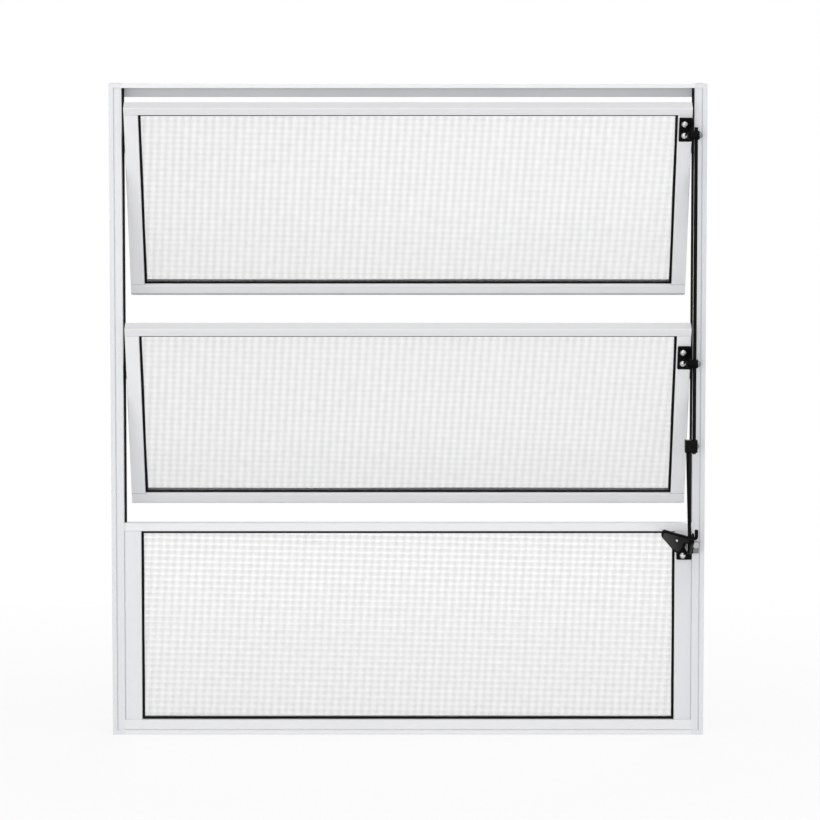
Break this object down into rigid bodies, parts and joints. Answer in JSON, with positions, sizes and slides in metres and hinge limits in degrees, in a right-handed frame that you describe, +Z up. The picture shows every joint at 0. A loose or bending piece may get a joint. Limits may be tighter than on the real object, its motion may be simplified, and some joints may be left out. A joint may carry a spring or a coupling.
{
  "type": "awning window",
  "caption": "White aluminium awning window with tilting sashes linked by an outside rod to a hand lever, over a fixed light of patterned glass with black gaskets.",
  "frame": {"origin": "middle of the sill's underside, in the mid plane of the closed sashes", "axes": "+X to the right seen from the room, +Y outdoors, +Z up"},
  "size_m": [0.6, 0.1559, 0.66],
  "materials": {
    "white_aluminium": "white powder coat, satin",
    "patterned_glass": "translucent, small square relief",
    "glazing_rubber": "matte black",
    "seal_pile": "matte black pile",
    "pivot_nylon": "moulded, matte",
    "black_metal": "satin black paint",
    "bright_steel": "zinc-bright"
  },
  "bodies": {
    "window_frame": {"frame_left_jamb": "white_aluminium", "frame_right_jamb": "white_aluminium", "frame_head": "white_aluminium", "frame_sill": "white_aluminium", "frame_transom": "white_aluminium", "fixed_left_stile": "white_aluminium", "fixed_right_stile": "white_aluminium", "fixed_glass": "patterned_glass", "fixed_gasket": "glazing_rubber", "left_jamb_seal": "seal_pile", "right_jamb_seal": "seal_pile", "pivot_pins": "bright_steel", "lever_base": "black_metal", "lever_base_screws": "bright_steel", "lever_bolt": "bright_steel", "lever_nut": "bright_steel"},
    "upper_sash": {"upper_top_rail": "white_aluminium", "upper_bottom_rail": "white_aluminium", "upper_left_stile": "white_aluminium", "upper_right_stile": "white_aluminium", "upper_glass": "patterned_glass", "upper_gasket": "glazing_rubber", "upper_pivot_blocks": "pivot_nylon", "upper_bracket": "black_metal", "upper_bracket_screws": "bright_steel"},
    "lower_sash": {"lower_top_rail": "white_aluminium", "lower_bottom_rail": "white_aluminium", "lower_left_stile": "white_aluminium", "lower_right_stile": "white_aluminium", "lower_glass": "patterned_glass", "lower_gasket": "glazing_rubber", "lower_pivot_blocks": "pivot_nylon", "lower_bracket": "black_metal", "lower_bracket_screws": "bright_steel"},
    "operating_rod": {"upper_rod": "black_metal", "lower_rod": "black_metal", "upper_swivel": "black_metal", "lower_swivel": "black_metal", "swivel_screws": "bright_steel", "rod_connector": "black_metal", "connector_screw": "bright_steel"},
    "hand_lever": {"lever": "black_metal"}
  },
  "joints": [
    {"name": "upper_sash_tilt", "type": "hinge", "parent": "window_frame", "child": "upper_sash", "pos_m": [0, 0.011, 0.5946], "axis": [1, 0, 0], "range_deg": [-26, 34]},
    {"name": "lower_sash_tilt", "type": "hinge", "parent": "window_frame", "child": "lower_sash", "pos_m": [0, 0.011, 0.3658], "axis": [1, 0, 0], "range_deg": [-26, 34]},
    {"name": "rod_swivel", "type": "hinge", "parent": "upper_sash", "child": "operating_rod", "pos_m": [0.2873, -0.03032, 0.6086], "axis": [1, 0, 0], "range_deg": [-34, 26]},
    {"name": "lever_turn", "type": "hinge", "parent": "window_frame", "child": "hand_lever", "pos_m": [0.2845, -0.021, 0.1932], "axis": [1, 0, 0], "range_deg": [-26, 34]}
  ],
  "couplings": [
    {"joint": "lower_sash_tilt", "follows": "upper_sash_tilt", "ratio": 1},
    {"joint": "rod_swivel", "follows": "upper_sash_tilt", "ratio": -1},
    {"joint": "lever_turn", "follows": "upper_sash_tilt", "ratio": 1}
  ]
}
